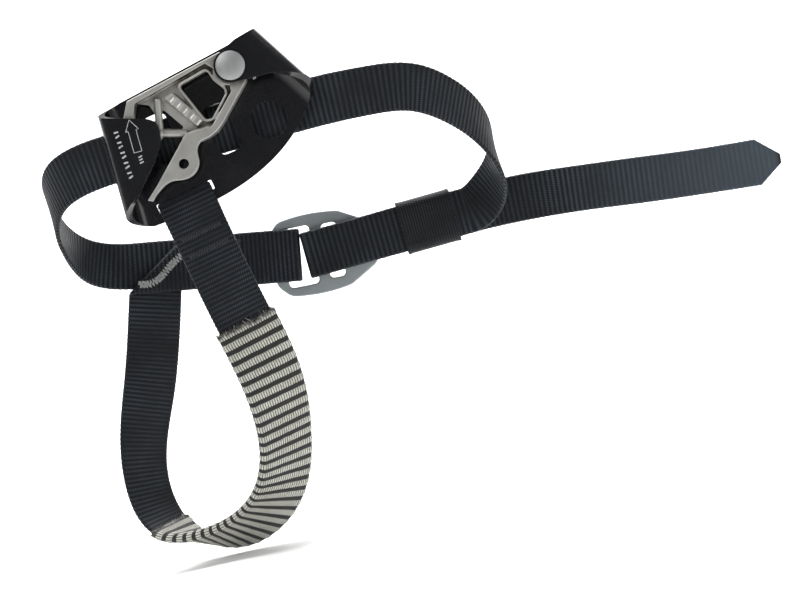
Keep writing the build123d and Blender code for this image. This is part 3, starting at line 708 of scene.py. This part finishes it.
def folded(past, across, out):
    """Flat webbing rolled over the diagonal crease at the junction; past is the distance beyond it."""
    travel = -RUN_WAY
    side = np.array([sin(RUN_FALL), cos(RUN_FALL)])
    hang = np.array([-sin(HANG_LEAN), -cos(HANG_LEAN)])
    crease = unit(travel + hang)
    beyond = np.array([-crease[1], crease[0]])
    beyond = beyond if beyond @ travel > 0 else -beyond
    flat = past[:, None, None] * travel + across[None, :, None] * side
    roll = LAYER / 2
    depth = flat @ beyond
    before = pi * roll / 2       # the roll starts before the crease, so that both runs meet at the junction
    angle = np.clip((depth + before) / roll, 0, pi)
    rolling = np.abs(depth) < before
    inward = np.where(rolling, (roll + out) * np.sin(angle) - before, -np.abs(depth))
    spot = JUNCTION + (flat @ crease)[..., None] * crease + inward[..., None] * beyond
    y = FRONT_Y + roll - (roll + out) * np.cos(angle)
    return np.stack([spot[..., 0], y, spot[..., 1]], -1)


def foot_loop_rows():
    """Centre and across direction of the hanging run, the part under the boot and the run to the frame."""
    hang_start = folded(np.array([FOLD_AFTER]), np.zeros(1), np.zeros((1, 1)))[0, 0]
    start = (*hang_start, cos(HANG_LEAN), 0, -sin(HANG_LEAN))
    slot_end = SLOT_AT - SLOT_RUN * UP_SLOT
    finish = (slot_end[0], SLOT_FRONT_Y, slot_end[1], cos(SLOT_TILT), 0, sin(SLOT_TILT))
    return smooth([start, *UNDER_BOOT, finish], start=(-sin(HANG_LEAN), 0, -cos(HANG_LEAN)),
                  finish=(UP_SLOT[0], 0, UP_SLOT[1]))


def foot_strap():
    """Round the buckle's bar, folded down at the junction, under the boot and up to the frame's slot."""
    step = 0.3
    bar_end = 67.9
    local = rounded([(22.0, HANG_Y), (42.0, HANG_Y), (52.0, BEHIND_Y), (bar_end, BEHIND_Y),
                     (bar_end, FRONT_Y), (FOLD_BEFORE, FRONT_Y)], 2.0)
    spot = JUNCTION + local[:, :1] * RUN_WAY
    side = (sin(RUN_FALL), 0, cos(RUN_FALL))
    run = np.c_[spot[:, 0], local[:, 1], spot[:, 1], np.tile(side, (len(spot), 1))]
    run, run_along = evenly(run, step)

    past = np.arange(-FOLD_BEFORE + step, FOLD_AFTER - step, step)
    past_along = run_along[-1] + FOLD_BEFORE + past

    sewn = SLOT_FRONT_Y + LAYER
    local = rounded([(-SLOT_RUN, SLOT_FRONT_Y), (1.1, SLOT_FRONT_Y), (1.1, SLOT_REAR_Y), (-8.0, SLOT_REAR_Y),
                     (-14.5, sewn), (-28.0, sewn)], 1.3)
    spot = SLOT_AT + local[:, :1] * UP_SLOT
    side = (cos(SLOT_TILT), 0, sin(SLOT_TILT))
    slot = np.c_[spot[:, 0], local[:, 1], spot[:, 1], np.tile(side, (len(spot), 1))]
    rest, rest_along = evenly(np.vstack([foot_loop_rows(), slot]), step)
    rest_along = rest_along + past_along[-1] + step

    across, out, facing = webbing_section(FOOT_W, WEB - 0.1, 52)
    along = np.concatenate([run_along, past_along, rest_along])
    raised = out + facing * foot_relief(along[:, None], across[None, :])
    a, b = len(run), len(run) + len(past)
    wide = rippled(along, FOOT_RIB)
    blocks = [strip_points(run, across, raised[:a], wide[:a]), folded(past, across, raised[a:b]),
              strip_points(rest, across, raised[b:], wide[b:])]
    material = webbing_material("foot_webbing", (0.0060, 0.0074, 0.0098), FOOT_RIB, FOOT_YARN)
    strap("foot_webbing", blocks, along, across, material, "foot_webbing", "foot_strap")


def sheath(name, rows, along, section, inner, relief, material, slot_name, body, node, jitter):
    """A tube with an outside, an inside and turned rims, over rows of centre and across direction."""
    across, out = section
    lift = relief(along[:, None], across[None, :])
    outer = strip_points(rows, across, out[None, :] * (1 + lift / np.max(out)))
    shape = strip_points(rows, across, np.zeros((1, len(out))))
    outer += (shape - rows[:, None, :3]) * (lift / np.max(across))[..., None]
    outer += jitter[..., None] * unit(np.gradient(rows[:, :3], axis=0))[:, None, :]
    inside = strip_points(rows, across * inner[0], np.broadcast_to(out * inner[1], (len(rows), len(out))))
    points = np.concatenate([outer, inside[::-1]])
    count, columns = len(points), len(across)
    faces = grid_faces(count, columns)[:-2]
    faces += [[(count - 1) * columns + i, (count - 1) * columns + (i + 1) % columns, (i + 1) % columns, i]
              for i in range(columns)]
    uv_along = np.concatenate([along, along[::-1]])
    girth = np.concatenate([[0], np.cumsum(np.hypot(np.diff(across), np.diff(out)))])
    uv = np.stack(np.broadcast_arrays(uv_along[:, None], girth[None, :]), -1).reshape(-1, 2)
    obj = piece(name, points.reshape(-1, 3), faces, material, slot_name, body, uv)
    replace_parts(obj, node)
    return outer


def wear_sleeve():
    """Striped woven tube under the boot, with rounded floats and frayed, half-melted ends."""
    rng = np.random.default_rng(11)
    rows, along = evenly(foot_loop_rows(), 0.3)
    first = int(np.argmin(np.linalg.norm(rows[:, :3] - SLEEVE_END, axis=1)))
    last = int(np.argmax((rows[:, 2] > SLEEVE_TOP_Z - 1.5) & (np.arange(len(rows)) > first)))
    rows, along = rows[first:last], along[first:last]
    across, out, _ = webbing_section(SLEEVE_W, SLEEVE_T, 110, 15)
    girth = np.concatenate([[0], np.cumsum(np.hypot(np.diff(across), np.diff(out)))])

    def relief(u, v):
        strand = 0.5 + 0.5 * np.cos(2 * pi * girth[None, :] / FLOAT)
        stripe = 0.5 + 0.5 * np.cos(2 * pi * (u + FLOAT_STEP * strand) / STRIPE)
        edge = 0.5 - 0.5 * cos(pi * (1 - PALE_SHARE))
        pillow = np.sqrt(np.clip((stripe - edge) / (1 - edge), 0, 1))
        between = np.sqrt(np.clip((edge - stripe) / edge, 0, 1))
        pale = 0.42 * pillow * (0.5 + 0.5 * np.sqrt(strand))
        black = 0.16 * between * np.sqrt(1 - 0.7 * strand)
        return pale + black - 0.20

    ends = np.minimum(along - along[0], along[-1] - along)
    knots = np.arange(0, len(across) + 4, 3)
    ragged = np.interp(np.arange(len(across)), knots, rng.normal(0, 0.45, len(knots)))
    jitter = ragged[None, :] * np.exp(-ends / 1.0)[:, None]
    outer = sheath("sleeve_weave", rows, along, (across, out), (0.93, 0.62), relief, striped_material(),
                   "striped_sleeve", "frame", "wear_sleeve", jitter)
    sleeve = bpy.data.objects["sleeve_weave"]
    burn = np.clip(1.5 - (ends[:, None] + 0.9 * ragged[None, :]) / 1.7, 0, 1)
    char = sleeve.data.attributes.new("burnt", "FLOAT", "POINT")
    char.data.foreach_set("value", np.concatenate([burn, burn[::-1]]).astype(np.float32).ravel())
    pale = thread_material("fray_pale", (0.62, 0.61, 0.55))
    dark = thread_material("fray_dark", (0.03, 0.03, 0.032))
    travel = unit(rows[-1, :3] - rows[-4, :3])
    for name, material, number in (("sleeve_fray_pale", pale, 40), ("sleeve_fray_dark", dark, 150)):
        threads = []
        for _ in range(number):
            top = rng.random() < 0.75
            rim = outer[-1 if top else 0]
            way = travel if top else -unit(rows[3, :3] - rows[0, :3])
            start = rim[rng.integers(len(rim))] - 0.5 * way
            lean = rng.normal(0, 0.45, 3)
            reach = rng.uniform(0.5, 1.9)
            bend = rng.normal(0, 0.35, 3)
            share = np.linspace(0, 1, 6)[:, None]
            threads.append(tube(start + share * reach * (way + lean) + share**2 * bend,
                                0.13 * (1 - 0.5 * share[:, 0]), 5))
        piece(name, *joined(threads), material, slot="striped_sleeve")


def strap_keeper():
    """Ribbed elastic sleeve, a little puckered at its rims, with its seam behind."""
    rng = np.random.default_rng(5)
    centre = (KEEPER_LOW + KEEPER_HIGH) / 2
    size = KEEPER_HIGH - KEEPER_LOW
    xs = np.arange(KEEPER_LOW[0], KEEPER_HIGH[0], 0.25)
    rows = np.c_[xs, np.tile((centre[1], centre[2], 0, 0, 1.0), (len(xs), 1))]
    across, out, _ = webbing_section(size[2] - 0.4, size[1] - 0.4, 64, 9)
    along = xs - xs[0]
    from_rim = np.minimum(along, along[-1] - along)[:, None]

    def relief(u, v):
        cord = 0.10 * np.abs(np.sin(pi * v / 1.1))
        rib = 0.05 * np.abs(np.sin(pi * u / 1.25))
        hem = 0.22 * np.exp(-((from_rim - 0.9) / 0.7)**2)
        return cord + rib + hem - 0.10

    pucker = 0.18 * np.sin(np.arange(len(across)) * 0.9)[None, :] * np.exp(-from_rim / 0.8)
    material = webbing_material("elastic_tape", (0.0050, 0.0058, 0.0070), 1.25, 1.1)
    sheath("keeper_elastic", rows, along, (across, out), (0.90, 0.70), relief, material, "elastic_tape",
           "keeper", "strap_keeper", pucker)
    seam = []
    for z in np.arange(centre[2] - 9.5, centre[2] + 9.5, 1.7):
        for x in (centre[0] - 1.6, centre[0] + 1.6):
            share = np.linspace(0, 1, 8)
            hump = KEEPER_HIGH[1] - 0.15 + 0.22 * np.sin(pi * share)
            seam.append(tube(np.c_[x + rng.normal(0, 0.05) + 0 * share, hump, z + 1.3 * share], 0.2, 6))
    piece("keeper_seam", *joined(seam), thread_material("keeper_thread", (0.03, 0.032, 0.035)),
          "elastic_tape", "keeper")


# ---------------------------------------------------------------- sewing
def zigzag(path, y, amplitude, pitch, radius, outward=-1):
    """A dense zigzag of thread along a path in X-Z, sinking into the webbing at every turn."""
    flat = np.array([(x, 0, z) for x, z in path])
    flat, along = evenly(smooth(flat) if len(flat) > 2 else flat, 0.08)
    travel = unit(np.gradient(flat, axis=0))
    side = np.stack([-travel[:, 2], travel[:, 0] * 0, travel[:, 0]], 1)
    phase = 2 * pi * along / pitch
    swing = amplitude * (2 / pi) * np.arcsin(np.sin(phase) * 0.995)
    path = flat + side * swing[:, None]
    path[:, 1] = y + outward * (0.10 + 0.16 * np.abs(np.cos(phase)))
    return tube(path, radius, 6)


def sewing():
    pale = thread_material("pale_thread", (0.40, 0.41, 0.40))
    dark = thread_material("dark_thread", (0.011, 0.012, 0.014))
    face = FRONT_Y - WEB / 2
    tack = [(-21.2, -49.0), (-17.0, -50.0), (-10.2, -48.4), (-4.6, -44.6), (2.2, -40.9)]
    shifted = [(x + 0.35, z + 0.1) for x, z in tack]
    parts = [zigzag(tack, face, 1.8, 1.45, 0.25), zigzag(shifted, face - 0.16, 1.6, 1.75, 0.22)]
    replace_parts(piece("junction_zigzag", *joined(parts), pale, slot="pale_thread"), "junction_bar_tack")

    rows = []
    for along in (32.0, 40.0):
        ends = [turned(along, above, RUN_FALL, JUNCTION) for above in (-9.5, 9.5)]
        rows.append(zigzag(ends, face, 0.9, 1.25, 0.19))
        rows.append(zigzag(ends, HANG_Y + WEB / 2, 0.9, 1.25, 0.19, 1))
    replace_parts(piece("buckle_loop_zigzag", *joined(rows), dark, slot="dark_thread"), "buckle_loop_stitches")

    rows = []
    for below in (17.0, 25.0):
        ends = [turned(across, -below, -SLOT_TILT, SLOT_AT) for across in (-9.5, 9.5)]
        rows.append(zigzag(ends, SLOT_FRONT_Y - WEB / 2, 0.9, 1.25, 0.19))
        rows.append(zigzag(ends, SLOT_FRONT_Y + LAYER + WEB / 2, 0.9, 1.25, 0.19, 1))
    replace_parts(piece("frame_loop_zigzag", *joined(rows), dark, slot="dark_thread"), "frame_loop_stitches")


# ---------------------------------------------------------------- stage, light and camera
def stage(lowest):
    """A pale floor just below the object that curves up into a pale wall, with no visible horizon."""
    floor = lowest - 0.002
    wide, front, bend_at, radius, top = 4.0, -3.0, 0.7, 0.9, 3.2
    profile = [(front, floor), (bend_at, floor)]
    for index in range(1, 25):
        angle = pi / 2 * index / 24
        profile.append((bend_at + radius * sin(angle), floor + radius * (1 - cos(angle))))
    profile.append((bend_at + radius, top))
    vertices = [(x, y, z) for y, z in profile for x in (-wide, wide)]
    faces = [(2 * i, 2 * i + 1, 2 * i + 3, 2 * i + 2) for i in range(len(profile) - 1)]
    mesh = bpy.data.meshes.new("backdrop")
    mesh.from_pydata(vertices, [], faces)
    mesh.shade_smooth()
    recipe = Recipe("pale_paper")
    recipe.finish(recipe.mix(recipe.noise(6, 3), (0.86, 0.86, 0.86), (0.90, 0.90, 0.90)), 0.9)
    mesh.materials.append(recipe.material)
    backdrop = bpy.data.objects.new("backdrop", mesh)
    bpy.context.scene.collection.objects.link(backdrop)
    backdrop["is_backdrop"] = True


def soft_light(name, place, target, size, watts):
    """A rectangular lamp that points at a target, in metres and watts."""
    lamp = bpy.data.lights.new(name, "AREA")
    lamp.shape = "RECTANGLE"
    lamp.size, lamp.size_y = size
    lamp.energy = watts
    obj = bpy.data.objects.new(name, lamp)
    place, target = np.array(place), np.array(target)
    back = unit(place - target)
    side = unit(np.cross((0, 0, 1), back))
    lift = np.cross(back, side)
    obj.matrix_world = Matrix([[*column] for column in np.c_[side, lift, back, place]] + [[0, 0, 0, 1]])
    bpy.context.scene.collection.objects.link(obj)


def lights():
    world = bpy.data.worlds.new("studio")
    world.use_nodes = True
    world.node_tree.nodes["Background"].inputs[0].default_value = (1, 1, 1, 1)
    world.node_tree.nodes["Background"].inputs[1].default_value = 0.20
    bpy.context.scene.world = world
    aim = (0.06, 0.03, -0.04)
    soft_light("key", (-0.45, -0.85, 0.75), aim, (0.35, 0.25), 6)
    soft_light("fill", (0.9, -0.8, 0.15), aim, (0.5, 0.5), 2)
    soft_light("top", (0.1, 0.1, 1.0), aim, (0.8, 0.4), 5)
    soft_light("wall", (0.1, 0.45, 1.3), (0.1, 1.5, 0.2), (2.4, 0.6), 70)
    soft_light("behind", (0.3, 0.9, 0.5), aim, (0.8, 0.4), 3)


def camera():
    """Looks along +Y, rolled so that the rope leans as it does in use; the lens shows the whole object."""
    roll = radians(15.7)
    eye = np.array([88.4, -941.5, -66.4]) * MM
    distance = 950 * MM                           # from the eye to the frame's back plate
    width_there = 352.7 * MM                      # what the picture's width covers at that distance
    lens = bpy.data.cameras.new("camera")
    lens.sensor_width = 36
    lens.lens = lens.sensor_width * distance / width_there
    lens.shift_x = 0.036
    lens.shift_y = -0.050
    obj = bpy.data.objects.new("camera", lens)
    right = (cos(roll), 0, -sin(roll))
    up = (sin(roll), 0, cos(roll))
    obj.matrix_world = Matrix([[right[i], up[i], (0, -1, 0)[i], eye[i]] for i in range(3)] + [[0, 0, 0, 1]])
    bpy.context.scene.collection.objects.link(obj)
    bpy.context.scene.camera = obj
    bpy.context.scene.view_settings.view_transform = "Standard"


# ---------------------------------------------------------------- build
metalwork()
flap_marks()
ankle_strap()
foot_strap()
wear_sleeve()
strap_keeper()
sewing()
stage(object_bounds()[0][2])
lights()
camera()
